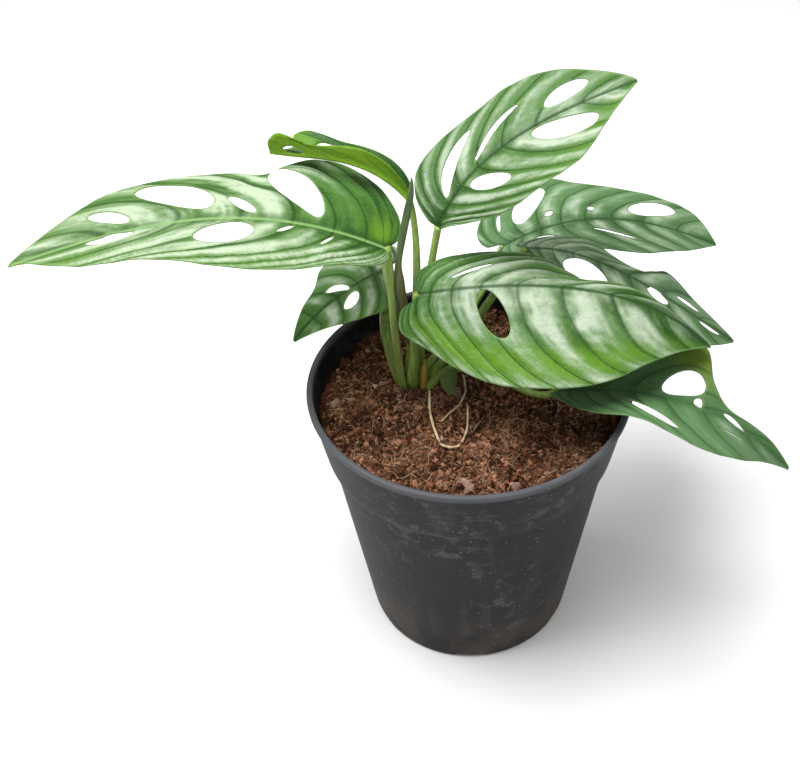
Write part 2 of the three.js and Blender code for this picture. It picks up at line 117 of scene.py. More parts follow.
def two_faced(upper, lower, faces):
    """Closes two sheets with the same faces: the lower is turned over, and walls join the open edges."""
    count = len(upper)
    edges = np.concatenate([faces[:, [0, 1]], faces[:, [1, 2]], faces[:, [2, 0]]])
    key = edges.min(1).astype(np.int64) * count + edges.max(1)
    _, first, times = np.unique(key, return_index=True, return_counts=True)
    a, b = edges[first[times == 1]].T
    walls = np.concatenate([np.stack([a, a + count, b + count], -1), np.stack([a, b + count, b], -1)])
    return np.concatenate([upper, lower]), np.concatenate([faces, faces[:, [0, 2, 1]] + count, walls])


def normalized(v):
    """Each vector divided by its length."""
    return v / np.maximum(np.linalg.norm(v, axis=-1, keepdims=True), 1e-9)


def bezier(points, u):
    """The cubic through four handles: the weighted sum with Bernstein weights, and its unit tangent."""
    p = np.asarray(points, float)
    u = np.asarray(u, float)[..., None]
    w = 1 - u
    place = w ** 3 * p[0] + 3 * w * w * u * p[1] + 3 * w * u * u * p[2] + u ** 3 * p[3]
    slope = w * w * (p[1] - p[0]) + 2 * w * u * (p[2] - p[1]) + u * u * (p[3] - p[2])
    return place, normalized(slope)


def through(points, x):
    """The uniform Catmull-Rom curve through rows of points, at share x of the way, its ends clamped."""
    p = np.asarray(points, float)
    last = len(p) - 1
    y = np.clip(x, 0, 1) * last
    i = np.minimum(np.floor(y).astype(int), last - 1)
    f = (y - i)[..., None]
    a, b, c, d = (p[np.clip(i + k, 0, last)] for k in (-1, 0, 1, 2))
    bend = 2 * a - 5 * b + 4 * c - d
    twist = 3 * b - a - 3 * c + d
    return 0.5 * (2 * b + (c - a) * f + bend * f ** 2 + twist * f ** 3)


def ripple(x, y, cell, seed):
    """Smooth random heights from -1 to 1: a lattice of random values, blended between its four corners."""
    table = np.random.default_rng(seed).uniform(-1, 1, (RIPPLE_TABLE, RIPPLE_TABLE))
    shift = 400  # keeps lattice places above zero
    gx, gy = x / cell + shift, y / cell + shift
    ix, iy = np.floor(gx).astype(int), np.floor(gy).astype(int)
    fx, fy = gx - ix, gy - iy
    fx, fy = fx * fx * (3 - 2 * fx), fy * fy * (3 - 2 * fy)
    corner = [[table[(ix + a) % RIPPLE_TABLE, (iy + b) % RIPPLE_TABLE] for b in (0, 1)] for a in (0, 1)]
    near = corner[0][0] * (1 - fy) + corner[0][1] * fy
    far = corner[1][0] * (1 - fy) + corner[1][1] * fy
    return near * (1 - fx) + far * fx


def tube(path, radius, sides, reference, profile=None):
    """A closed tube: at each place of the path, a ring of radius times profile(angle, share) round it.

    Angle 0 lies along the reference made square to the tangent, and 90 degrees along their cross product.
    The UV map holds the length from the foot in decimetres and the share of the turn."""
    path = np.asarray(path, float)
    rings = len(path)
    along = normalized(np.gradient(path, axis=0))
    share = np.linspace(0, 1, rings)
    angle = np.arange(sides) * (TURN / sides)
    x = normalized(reference - along * (along @ reference)[:, None])
    y = np.cross(along, x)
    r = through([[v] for v in radius], share)[:, 0][:, None] * np.ones(sides)
    if profile is not None:
        r = r * profile(angle[None, :], share[:, None])
    ring = x[:, None] * (r * np.cos(angle))[..., None] + y[:, None] * (r * np.sin(angle))[..., None]
    corners = (path[:, None] + ring).reshape(-1, 3)
    step = np.arange(1, sides - 1)
    foot = np.stack([0 * step, step + 1, step], -1)
    head = np.stack([0 * step, step, step + 1], -1) + (rings - 1) * sides
    faces = np.concatenate([grid_faces(rings, sides, wrap=True), foot, head])
    length = np.concatenate([[0], np.cumsum(np.linalg.norm(np.diff(path, axis=0), axis=1))])
    uv = np.stack(np.broadcast_arrays(length[:, None] / 100, angle[None, :] / TURN), -1).reshape(-1, 2)
    return corners, faces, uv


def joined(parts):
    """Several (corners, faces, uv) parts as one."""
    offsets = np.cumsum([0] + [len(p[0]) for p in parts[:-1]])
    return (np.concatenate([p[0] for p in parts]),
            np.concatenate([p[1] + o for p, o in zip(parts, offsets)]),
            np.concatenate([p[2] for p in parts]))


# ---- shader maths

class Wire:
    """An output socket. Arithmetic on it adds Math nodes, and node() adds any other node to the same tree."""

    def __init__(self, tree, socket):
        self.tree = tree
        self.socket = socket

    def node(self, kind, settings=None, inputs=None, out=0):
        made = self.tree.nodes.new(kind)
        for key, value in (settings or {}).items():
            setattr(made, key, value)
        for key, value in (inputs or {}).items():
            if isinstance(value, Wire):
                self.tree.links.new(value.socket, made.inputs[key])
            else:
                made.inputs[key].default_value = value
        return Wire(self.tree, made.outputs[out])

    def math(self, operation, a, b=0.0):
        return self.node("ShaderNodeMath", {"operation": operation}, {0: a, 1: b})

    def __add__(self, other):
        return self.math("ADD", self, other)

    __radd__ = __add__

    def __sub__(self, other):
        return self.math("SUBTRACT", self, other)

    def __rsub__(self, other):
        return self.math("SUBTRACT", other, self)

    def __mul__(self, other):
        return self.math("MULTIPLY", self, other)

    __rmul__ = __mul__

    def __abs__(self):
        return self.math("ABSOLUTE", self)

    def fraction(self):
        return self.math("FRACT", self)

    def ramp(self, low, high):
        """0 below low, 1 above high, and smooth between; low may be the larger."""
        if low <= high:
            return self.node("ShaderNodeMapRange", {"interpolation_type": "SMOOTHSTEP"},
                             {"Value": self, "From Min": low, "From Max": high})
        return 1 - self.ramp(high, low)

    def mix(self, a, b):
        """Colour a where this is 0 and colour b where it is 1."""
        first, second = (c if isinstance(c, Wire) else (*c, 1) for c in (a, b))
        return self.node("ShaderNodeMix", {"data_type": "RGBA"}, {0: self, 6: first, 7: second}, out=2)

    def noise(self, scale, detail=4.0, roughness=0.55):
        inputs = {"Vector": self, "Scale": scale, "Detail": detail, "Roughness": roughness}
        return self.node("ShaderNodeTexNoise", {}, inputs)

    def cells(self, scale, feature="F1"):
        return self.node("ShaderNodeTexVoronoi", {"feature": feature}, {"Vector": self, "Scale": scale})

    def stretched(self, x, y, z):
        """A place with its three parts scaled: a small scale draws the pattern out that way."""
        return self.node("ShaderNodeMapping", {}, {"Vector": self, "Scale": (x, y, z)})


class Finish:
    """A material with one Principled shader, fed by object coordinates, the piece's UV map and attributes."""

    def __init__(self, name, **constants):
        self.material = bpy.data.materials.new(name)
        self.material.use_nodes = True
        self.tree = self.material.node_tree
        self.shader = self.tree.nodes["Principled BSDF"]
        for key, value in constants.items():
            self.shader.inputs[key.replace("_", " ")].default_value = value
        self.start = Wire(self.tree, None)
        self.place = self.start.node("ShaderNodeTexCoord", out="Object")

    def height(self):
        return self.place.node("ShaderNodeSeparateXYZ", {}, {0: self.place}, out="Z")

    def uv(self):
        """Both parts of the UV map."""
        split = self.start.node("ShaderNodeUVMap", {"uv_map": "across"})
        x = split.node("ShaderNodeSeparateXYZ", {}, {0: split}, out="X")
        return x, Wire(self.tree, x.socket.node.outputs["Y"])

    def value(self, name):
        return self.start.node("ShaderNodeAttribute", {"attribute_name": name}, out="Fac")

    def feed(self, colour=None, roughness=None, bump=None, strength=0.3, distance=0.001):
        if bump is not None:
            relief = {"Height": bump, "Strength": strength, "Distance": distance}
            normal = bump.node("ShaderNodeBump", {}, relief)
            self.tree.links.new(normal.socket, self.shader.inputs["Normal"])
        for wire, key in ((colour, "Base Color"), (roughness, "Roughness")):
            if wire is not None:
                self.tree.links.new(wire.socket, self.shader.inputs[key])
        return self.material


def leaf_finish(name, deep, mid, pale, under, rib, line):
    """A blade: deep green beside the veins, painted shade in their grooves; mid between them; pale as painted
    sheen; a line on the rib and a light edge.

    Attributes: vein counts side veins, from_rib and edge are distances (mm) from the rib and from any edge,
    lower is 1 on the back, and sheen_and_scar, glow_and_underside and dark_tone_and_shade are the amounts of
    pale, under and deep: painted sheen with one pale scar, painted glow with the underside's colour on the
    rolled blade, and painted shade with patches of darker tone."""
    f = Finish(name, Specular_IOR_Level=0.14)
    from_rib, edge, lower = f.value("from_rib"), f.value("edge"), f.value("lower")
    sheen_and_scar, glow_and_underside, dark_tone_and_shade = f.value("sheen_and_scar"), f.value("glow_and_underside"), f.value("dark_tone_and_shade")
    cell = (f.value("vein") + 0.5).fraction()
    from_vein = abs(cell - 0.5) * 2
    blotch = f.place.noise(45, 4)
    fine = f.place.noise(260, 5, 0.65)
    net = f.place.cells(330, "DISTANCE_TO_EDGE").ramp(0.0, 0.12)
    # Painted shade: mid turns to deep where the shade amount is high, beside the veins and the rib and in
    # darker patches of tone.
    colour = (dark_tone_and_shade + (blotch - 0.5) * 0.6 + (fine - 0.5) * 0.5).ramp(0.0, 1.0).mix(mid, deep)
    # Painted glow: the under colour mixed in as a yellow-green lightening; on the rolled blade it is the
    # underside's colour.
    colour = glow_and_underside.ramp(0.0, 1.0).mix(colour, under)
    # Painted sheen: a pale highlight on the rising flanks between veins, with one pale scar on the front
    # right blade.
    colour = ((sheen_and_scar * (blotch + fine)).ramp(0.16, 1.2) * 0.95).mix(colour, pale)
    colour = ((1 - net) * 0.07).mix(colour, rib)
    # Painted shade: deep green along the vein grooves; where a finish's rib line is dark, it is painted shade
    # in the rib's groove too.
    colour = (from_vein.ramp(0.16, 0.02) * (0.30 + fine * 0.6)).mix(colour, deep)
    colour = (from_rib.ramp(1.5, 0.3) * 0.85).mix(colour, line)
    colour = (edge.ramp(0.8, 0.1) * 0.55).mix(colour, rib)
    below = (net * 0.25).mix(rib, under)
    below = from_vein.ramp(0.1, 0.03).mix(below, rib)
    colour = lower.ramp(0.3, 0.7).mix(colour, below)
    height = net * 0.2 + fine * 0.6 + blotch * 0.8 - from_vein.ramp(0.12, 0.0) * 0.8
    rough = 0.40 + (fine - 0.5) * 0.25 + (blotch - 0.5) * 0.2 + lower * 0.15
    return f.feed(colour, rough, height, 0.5, 0.0007)


# ---- blades

# rib: the four handles of the midrib's cubic, from the stem's foot. finish: a key of LEAF_COLOURS.
# sheen: strength of the painted sheen, a pale highlight between side veins. roll: turn about the midrib
# at base and tip, degrees.
# fold: how far both halves rise from the rib, degrees. curl: further turn of each half at CURL_REACH.
# veins: how many side veins. sweep: how far they lean to the tip, left and right. quilt: rise between them.
# wave: rise of the margin, number of waves and phase. left, right: half outlines as (along, out).
# holes: (place along, place across, half-length across, half-width along, slant).
# sheen_and_scar, glow_and_underside, dark_tone_and_shade: patches as (place along, place across, reach
# along, reach across, amount), if any. They are painted sheen (one front_right patch is a pale scar),
# painted glow (on rolled, the underside's colour) and painted shade with darker tone.
LEAVES = {
    "left": dict(
        rib=[[-9, -4, 80], [-61, -2, 104], [-108, 6, 90], [-173, -3, 70]], finish="light", sheen=.45,
        roll=(1, 1), fold=3, curl=(0, 0), veins=7, sweep=(.45, .38), quilt=1.5, wave=(1.2, 3.2, .4),
        left=[[0, 2], [-2, 7], [5, 17], [17, 26], [34, 35], [58, 38], [82, 36], [106, 30], [130, 22],
              [150, 12], [162, 4], [169, .8]],
        right=[[0, 2], [-5, 9], [-3, 24], [8, 42], [24, 51], [40, 50], [53, 41], [63, 34], [80, 37],
               [108, 36], [134, 32], [151, 22], [162, 11], [169, .8]],
        holes=[(.69, -.56, .35, .044, -.09), (.81, -.5, .28, .019, -.03), (.82, .24, .27, .045, -.07),
               (.57, -.29, .17, .023, -.19), (.56, .34, .25, .063, -.02), (.43, .15, .09, .012, .16),
               (.3, .3, .12, .009, .15), (.43, -.57, .44, .055, -.18)],
        sheen_and_scar=[(.85, 0, .45, 1.4, .6), (.5, .6, .28, .6, .35), (.55, -.6, .2, .5, .5),
               (.17, .85, .16, .22, .8), (.08, -.5, .2, .8, -.7)],
        glow_and_underside=[(.12, -.5, .07, .35, .9), (.9, .8, .3, .4, .4), (.45, .9, .3, .2, .3)],
        dark_tone_and_shade=[(.05, -.5, .22, .9, .75)]),
    "upper_right": dict(
        rib=[[13, 17, 77], [26, 30, 106], [56, 40, 118], [99, 47, 132]], finish="fresh", sheen=.95,
        roll=(7, 7), fold=5, curl=(0, 0), veins=8, sweep=(.22, .34), quilt=1.6, wave=(.8, 2.6, 1.2),
        left=[[0, 2], [1, 7], [7, 17], [17, 24], [33, 26], [50, 27], [67, 29], [83, 26], [96, 18],
              [105, 9], [110, .8]],
        right=[[0, 2], [3, 6], [11, 16], [25, 28], [42, 36], [60, 38], [76, 35], [89, 25], [99, 14],
               [110, .8]],
        holes=[(.38, .43, .32, .056, .31), (.58, .36, .24, .028, .32), (.46, -.32, .23, .057, -.15),
               (.8, .55, .28, .049, .03), (.78, -.45, .38, .067, -.09)],
        sheen_and_scar=[(.5, -.1, .5, .5, .4), (.88, 0, .2, .8, .6)], glow_and_underside=[(.85, -.9, .4, .3, .5)],
        dark_tone_and_shade=[(0, .6, .25, .6, .7)]),
    "small_left": dict(
        rib=[[-11, 34, 43], [-26, 33, 38], [-46, 22, 29], [-57, 12, 16]], finish="fresh", sheen=.7,
        roll=(0, 0), fold=0, curl=(0, 0), veins=6, sweep=(.3, .3), quilt=1.4, wave=(.6, 2, .2),
        left=[[0, 2], [-6, 9], [-5, 22], [6, 30], [20, 26], [32, 19], [45, 10], [58, .8]],
        right=[[0, 2], [-6, 8], [0, 19], [14, 26], [28, 25], [36, 14], [46, 9], [58, .8]],
        holes=[(.61, .35, .21, .058, .21), (.63, -.25, .25, .036, -.2)],
        sheen_and_scar=[(.2, -.5, .3, .6, .8), (.7, .4, .25, .5, .5)], glow_and_underside=[(.5, .9, .4, .3, .5)]),
    "front_right": dict(
        rib=[[4, -8, 59], [46, -14, 71], [98, -16, 75], [132, -25, 43]], finish="fresh", sheen=.42,
        roll=(26, -4), fold=-21, curl=(-10, -6), veins=8, sweep=(.35, .38), quilt=2.2, wave=(.9, 2.4, 2),
        left=[[0, 2], [-3, 8], [-2, 16], [7, 23], [24, 28], [44, 32], [58, 28.5], [67, 16], [74, 9.5],
              [86, 13], [102, 15.5], [118, 13.5], [130, 7], [136, .8]],
        right=[[0, 2], [-8, 7], [-9, 16], [0, 23.5], [14, 33.5], [32, 42], [52, 44.8], [74, 43.5],
               [94, 37], [110, 25], [124, 12], [136, .8]],
        holes=[(.43, -.29, .25, .046, -.155), (.305, .47, .14, .021, .36), (.541, .435, .11, .009, .357)],
        sheen_and_scar=[(.5, -.2, .3, .4, .9), (.2, .1, .22, .7, .35), (.55, .45, .25, .4, .8),
               (.85, -.4, .2, .5, .35), (.5, -1, .35, .09, .6), (.672, -.36, .012, .06, 2.5)],
        glow_and_underside=[(.62, -.8, .3, .22, .9), (.3, -.75, .2, .2, .6)], dark_tone_and_shade=[(.98, 0, .12, 1.2, .5)]),
    "back_right": dict(
        rib=[[44, 75, 28], [82, 78, 51], [114, 78, 45], [154, 75, 29]], finish="grey", sheen=.55,
        roll=(-4, -4), fold=3, curl=(0, 0), veins=9, sweep=(.25, .25), quilt=1.1, wave=(1, 3.1, .9),
        left=[[0, 2], [-10, 9], [-13, 24], [-4, 40], [12, 50], [28, 48], [44, 35], [62, 30], [84, 31],
              [98, 27], [107, 17], [113, .8]],
        right=[[0, 2], [-5, 8], [0, 19], [12, 27], [32, 30], [54, 33], [74, 33], [89, 26], [101, 14],
               [113, .8]],
        holes=[(.77, .51, .3, .062, .07), (.62, -.47, .18, .018, -.34), (.34, .55, .27, .063, .22),
               (.23, .65, .12, .013, .28), (.4, .24, .05, .02, .1), (.58, .32, .06, .014, 0),
               (.37, -.41, .15, .041, -.27)],
        sheen_and_scar=[(.9, 0, .3, 1, .5), (.1, -.3, .2, .6, .6), (.45, .3, .2, .6, .4)]),
    "mid_right": dict(
        rib=[[53, 27, 59], [86, 30, 61], [126, 23, 29], [155, 17, 12]], finish="grey", sheen=.5,
        roll=(0, 0), fold=-10, curl=(0, 0), veins=8, sweep=(.25, .25), quilt=1, wave=(.7, 2.7, .3),
        left=[[0, 2], [-4, 6], [8, 12], [24, 17], [38, 19], [52, 14], [66, 16], [78, 28], [90, 20],
              [104, 11], [117, .8]],
        right=[[0, 2], [2, 6], [12, 16], [30, 27], [50, 31], [72, 28], [92, 19], [106, 10], [117, .8]],
        holes=[(.42, -.38, .3, .105, .04), (.73, -.1, .17, .037, 0), (.83, .47, .14, .038, .09),
               (.91, -.25, .2, .032, -.06)],
        sheen_and_scar=[(.15, .3, .3, .8, .9), (.6, -.2, .4, .9, .5)], glow_and_underside=[(.3, .5, .25, .6, .3)]),
    "low_right": dict(
        rib=[[67, -27, 20], [98, -37, 30], [129, -47, 39], [167, -57, 0]], finish="dull", sheen=.35,
        roll=(6, 6), fold=14, curl=(0, 0), veins=8, sweep=(.25, .25), quilt=.9, wave=(.8, 2.9, 1.5),
        left=[[0, 2], [-3, 8], [6, 16], [24, 23], [44, 29], [58, 32], [67, 28], [73, 14], [82, 6],
              [94, 5], [104, 4], [114, .8]],
        right=[[0, 2], [-2, 6], [10, 13], [26, 19], [44, 21], [60, 25], [76, 28], [89, 24], [101, 12],
               [114, .8]],
        holes=[(.63, .48, .38, .053, 0), (.725, .24, .27, .0145, -.09), (.54, -.56, .22, .05, -.24),
               (.83, -.45, .1, .016, -.53), (.835, .22, .3, .024, -.13)],
        sheen_and_scar=[(.9, -.3, .2, .6, .4)], glow_and_underside=[(.5, .95, .16, .35, 1)], dark_tone_and_shade=[(.2, 0, .4, 1.5, .1)]),
    "rolled": dict(
        rib=[[0, 29, 83.5], [-19, 34.8, 104], [-40, 39, 97.5], [-62, 41, 100.2]], finish="young", sheen=.1,
        roll=(30, 30), fold=62, curl=(0, -30), veins=7, sweep=(.2, .2), quilt=.5, wave=(.6, 2.6, .5),
        left=[[0, 1.4], [4, 4], [13, 7], [26, 8.5], [38, 7.6], [48, 6.6], [58, 7], [66, 9.5], [72, 10],
              [76, 6], [75, .8]],
        right=[[0, 1.4], [4, 6], [14, 9.5], [27, 10.5], [40, 10.5], [51, 12.5], [59, 13.5], [65, 11],
               [64, 5], [69, 2.5], [75, .8]],
        holes=[(.86, .38, .2, .05, 0), (.66, -.42, .2, .07, .1)],
        glow_and_underside=[(.6, .6, .6, .8, 1.2), (.72, -.8, .1, .5, 1)], dark_tone_and_shade=[(.3, -.6, .5, .5, .5)]),
    "seedling": dict(
        rib=[[19, -10, 3], [19, -11, 9], [17.5, -12.5, 15], [15.2, -14, 21]], finish="dull", sheen=.1,
        roll=(75, 75), fold=8, curl=(0, 0), veins=5, sweep=(0, 0), quilt=.2, wave=(.3, 2, 0),
        left=[[0, 1], [2, 3.2], [8, 4.6], [14, 3.4], [18, .8]],
        right=[[0, 1], [2, 3.2], [8, 4.6], [14, 3.4], [18, .8]],
        sheen_and_scar=[(.5, 1, 1, .2, .8), (.5, -1, 1, .2, .8)], dark_tone_and_shade=[(.5, 0, 1, .8, .6)]),
}


CURL_REACH = 40.0


def nominal_length(leaf):
    """Length of a flat blade, where its left half outline ends."""
    return leaf["left"][-1][0]


def blade_surface(leaf, s, t):
    """Middle surface of a blade: s runs base to tip, t from the rib (0) to the edge (1 left, -1 right).

    A line of even s leaves the rib at nominal * s * (0.3 + 0.7 s) and sweeps to the outline point at s,
    moving along the rib as |t| to the 1.3. It is carried by the rib's curve, and turned about it by roll,
    fold and curl: a half that curls by an angle over v ends a chord of v sin(angle/2) / (angle/2) away."""
    handles = np.asarray(leaf["rib"], float) + STEM_FOOT
    length = np.linalg.norm(np.diff(bezier(handles, np.linspace(0, 1, 200))[0], axis=0), axis=1).sum()
    nominal = nominal_length(leaf)
    start = nominal * s * (0.3 + 0.7 * s)
    outline = np.where((t >= 0)[..., None], through(leaf["left"], s), through(leaf["right"], s))
    reach = np.abs(t)
    q = (start + (outline[..., 0] - start) * reach ** 1.3) / nominal
    v = outline[..., 1] * reach
    on_rib = np.clip(q, 0, 1)
    point, along = bezier(handles, on_rib)
    point = point + along * ((q - on_rib) * length)[..., None]
    side = normalized(np.cross(UP, along))
    up = np.cross(along, side)
    roll = np.radians(leaf["roll"][0] + (leaf["roll"][1] - leaf["roll"][0]) * on_rib)[..., None]
    outward = side * np.cos(roll) + up * np.sin(roll)
    normal = up * np.cos(roll) - side * np.sin(roll)
    turn = np.radians(np.where(t >= 0, *leaf["curl"])) * (v / CURL_REACH)
    rise = math.radians(leaf["fold"]) + turn / 2
    chord = v * np.sinc(turn / 2 / np.pi)
    point = point + outward * (np.sign(t) * chord * np.cos(rise))[..., None]
    return point + normal * (chord * np.sin(rise))[..., None], v


def vein_count(leaf, s, t):
    """The side-vein coordinate: whole numbers lie on veins.

    A vein that leaves the rib at place c reaches s = c + sweep |t|^1.8 (1 - c). This solves for c, counts
    veins along the rib, and lets the lines wander a little."""
    sweep = np.where(t >= 0, *leaf["sweep"]) * np.abs(t) ** 1.8
    wander = 0.22 * ripple(s * nominal_length(leaf), t * 30, 26, leaf["veins"] + 3)
    return (s - sweep) / (1 - sweep) * leaf["veins"] + wander * np.abs(t) ** 0.5


def panel_strength(leaf, vein, t):
    """A fixed random strength from 0.45 to 1 for each panel between two veins, its own on each half."""
    panels = 64
    table = np.random.default_rng(nominal_length(leaf)).uniform(0.45, 1, (2, panels))
    return table[(t >= 0).astype(int), np.floor(vein).astype(int) % panels]


def hole_reach(hole, s, t):
    """Distance from a hole's centre in half-lengths of its slanted ellipse: 1 on the rim."""
    hs, ht, a, b, slant = hole
    return np.hypot((t - ht) / a, (s - hs - slant * (t - ht)) / b)


def settled(hole, s, t, cell_s, cell_t):
    """Moves grid places close to a hole's rim onto it, by four steps along the gradient counted in cells.

    Places inside may move 0.9 of a cell and places outside half a cell; those on the rib and edge stay."""
    hs, ht, a, b, slant = hole
    ps, pt = s.copy(), t.copy()
    for _ in range(4):
        x = (pt - ht) / a
        y = (ps - hs - slant * (pt - ht)) / b
        r = np.maximum(np.hypot(x, y), 1e-3)
        gt = (x / a - y * slant / b) / r * cell_t
        gs = y / b / r * cell_s
        step = (r - 1) / np.maximum(gt * gt + gs * gs, 1e-6)
        ps -= step * gs * cell_s
        pt -= step * gt * cell_t
    distance = np.hypot((ps - s) / cell_s, (pt - t) / cell_t)
    limit = np.where(hole_reach(hole, s, t) < 1, 0.9, 0.5)
    move = (distance < limit) & (np.abs(t) < 0.999) & (t != 0)
    return np.where(move, ps, s), np.where(move, np.clip(pt, -1, 1), t)


def patches(leaf, key, s, t):
    """Sum of soft round patches exp(-(ds/reach)^2 - (dt/reach)^2) times their amounts."""
    total = np.zeros_like(s)
    for ps, pt, rs, rt, amount in leaf.get(key, ()):
        total += amount * np.exp(-((s - ps) / rs) ** 2 - ((t - pt) / rt) ** 2)
    return total


def shading(leaf, s, t, v, vein):
    """Painted sheen, a pale highlight on the rising flank of each panel between veins, and painted
    shade beside the veins and the rib, where their grooves lie.

    Both are soft bumps in the panel's own coordinate, broken by streaks that run along the veins and by a
    finer pattern across them."""
    panel = vein - np.floor(vein)
    pitch = nominal_length(leaf) / leaf["veins"]
    away = np.clip(v / 7, 0, 1) * panel_strength(leaf, vein, t)
    streak = ripple(vein * pitch, v / 4, 1.5, 31) + 0.6 * ripple(vein * pitch / 3, v, 1.7, 32)
    cloud = ripple(vein * pitch, v / 1.5, 5.5, 33)
    rise = np.exp(-((panel - 0.40) / 0.30) ** 2) * away
    # Painted sheen: pale on the rising flank of each panel, plus the listed patches.
    sheen_and_scar = patches(leaf, "sheen_and_scar", s, t) * (0.6 + 0.5 * rise) + leaf["sheen"] * rise
    sheen_and_scar = sheen_and_scar * (1.05 + 0.34 * streak + 0.34 * cloud)
    # Painted shade: darker on the falling flank towards the next vein, just past each vein and beside the
    # rib.
    fall = np.exp(-((1 - panel) / 0.24) ** 2) + 0.5 * np.exp(-(panel / 0.10) ** 2)
    dark_tone_and_shade = 0.55 * fall * away + 0.5 * np.exp(-(v / 5) ** 2) - 0.12 * streak - 0.25 * cloud
    return np.clip(sheen_and_scar - 0.25 * fall * away, 0, 1.3), np.clip(dark_tone_and_shade + patches(leaf, "dark_tone_and_shade", s, t), 0, 1.2)


def blade(name, finish):
    """A thin closed blade: the middle surface is raised between veins by quilt |sin(pi vein)|^0.6, waved at
    the margin by a sine along it, grooved over the rib, and given two faces with a keel under the rib."""
    leaf = LEAVES[name]
    nominal = nominal_length(leaf)
    left, right = (max(6, round(max(p[1] for p in leaf[half]) / BLADE_CELL)) for half in ("left", "right"))
    rows = max(16, round(nominal / BLADE_CELL))
    holes = leaf.get("holes", ())
    line = np.concatenate([1 - np.arange(left) / left, -np.arange(right + 1) / right])
    s, t = [a.ravel() for a in np.meshgrid(np.linspace(0, 1, rows + 1), line, indexing="ij")]
    cell_t = np.where(t > 0, 1 / left, 1 / right)
    for hole in holes:
        s, t = settled(hole, s, t, 1 / rows, cell_t)
    columns = left + right + 1
    faces = grid_faces(rows + 1, columns)
    centre_s, centre_t = s[faces].mean(1), t[faces].mean(1)
    clear = np.ones(len(faces), bool)
    for hole in holes:
        clear &= hole_reach(hole, centre_s, centre_t) > 1
    faces = faces[clear][:, [0, 2, 1]]

    step = 2e-3
    inside = np.clip(s, step, 1 - step)
    within = np.where(t >= 0, 1, -1) * np.clip(np.abs(t), step, 1 - step)
    ds = blade_surface(leaf, inside + step, within)[0] - blade_surface(leaf, inside - step, within)[0]
    half = step / 2
    dt = blade_surface(leaf, inside, within + half)[0] - blade_surface(leaf, inside, within - half)[0]
    normal = normalized(np.cross(ds, dt))
    middle, v = blade_surface(leaf, s, t)

    half_width = np.where(t >= 0, through(leaf["left"], s)[:, 1], through(leaf["right"], s)[:, 1])
    edge = (1 - np.abs(t)) * half_width
    for hole in holes:
        edge = np.minimum(edge, np.abs(hole_reach(hole, s, t) - 1) * min(hole[2] * 30, hole[3] * nominal))
    span = np.clip(v / 9, 0, 1) * np.clip(edge / 5, 0.25, 1)
    span = span * np.clip(s * 8, 0, 1) * np.clip((1 - s) * 5, 0, 1)
    vein = vein_count(leaf, s, t)
    pillow = panel_strength(leaf, vein, t) * np.abs(np.sin(np.pi * vein)) ** 0.6
    swell = leaf["quilt"] * span * (pillow - 0.4)
    swell += 0.35 * span * ripple(s * nominal, v, 4.5, 41)
    swell *= np.clip(1 - 1.3 * patches(leaf, "dark_tone_and_shade", s, t), 0.2, 1)
    crest, waves, phase = leaf["wave"]
    margin = crest * np.abs(t) ** 3 * np.clip((1 - s) * 4, 0, 1)
    swell += margin * np.sin(TURN * waves * s + phase + 1.7 * np.sign(t))
    sheen_and_scar, dark_tone_and_shade = shading(leaf, s, t, v, vein)
    gutter = np.exp(-(v / 1.1) ** 2)
    keel = gutter * (1.5 * (1 - s) + 0.25)
    upper = middle + normal * (swell - 0.45 * gutter)[:, None] + normal * (BLADE_THICKNESS / 2)
    lower = middle + normal * (swell - keel)[:, None] - normal * (BLADE_THICKNESS / 2)

    corners, closed = two_faced(upper, lower, faces)
    values = {"from_rib": v, "edge": edge, "lower": 0 * v, "vein": vein, "sheen_and_scar": sheen_and_scar, "dark_tone_and_shade": dark_tone_and_shade,
              "glow_and_underside": patches(leaf, "glow_and_underside", s, t)}
    values = {key: np.tile(value, 2) for key, value in values.items()}
    values["lower"][len(s):] = 1
    uv = np.tile(np.stack([s, t / 2 + 0.5], -1), (2, 1))
    make_piece("blade_" + name, corners, closed, finish, ["leaf_" + name], uv=uv, values=values)


# ---- stalks, stem, bud and roots

# Each stalk: bearing (degrees), height and clear distance of its foot beside the stem, the handle from its
# foot, the handle from the blade, and its radii from foot to blade.
STALKS = {
    "left": (215, 8, 0, (-2, -2, 34), (2, 0, -26), (2.2, 2, 1.9, 1.7, 2.5)),
    "upper_right": (55, 17, 0, (2, 3, 22), (-3, 2, -18), (2.1, 1.9, 1.6)),
    "small_left": (165, 3, .6, (-8, 4, 18), (-2, -4, -12), (2.4, 3.2, 1.4)),
    "front_right": (272, 12, 0, (3, -1, 18), (-3, 1, -16), (2.2, 2, 1.6)),
    "back_right": (42, 4, .6, (18, 6, 22), (-8, -14, -18), (2, 1.8, 1.6)),
    "mid_right": (8, 4, 2.5, (16, -2, 22), (-10, -4, -14), (2.1, 1.9, 1.6)),
    "low_right": (338, 2.5, 3, (20, 4, 28), (-14, -3, -14), (2, 1.8, 1.6)),
    "rolled": (90, 15, 0, (3, 5, 28), (4, 3, -20), (1.9, 1.8, 1.5)),
}


def beside(bearing, height, clear, radius):
    """A place beside the stem at a bearing in degrees."""
    out = STEM_RADIUS + radius + STALK_GAP + clear
    turn = math.radians(bearing)
    return STEM_FOOT + np.array([out * math.cos(turn), out * math.sin(turn), height])


def stalk_profile(angle, share):
    """Round, with a channel on the upper side that is deepest low down, where its two edges stand up."""
    off = np.abs((angle - np.pi / 2 + np.pi) % TURN - np.pi)
    low = np.clip(1.2 - 1.4 * share, 0.25, 1)
    channel = 0.34 * np.exp(-(off / 0.42) ** 2)
    edges = 0.12 * np.exp(-((off - 0.85) / 0.28) ** 2)
    return 1 - low * channel + low * edges


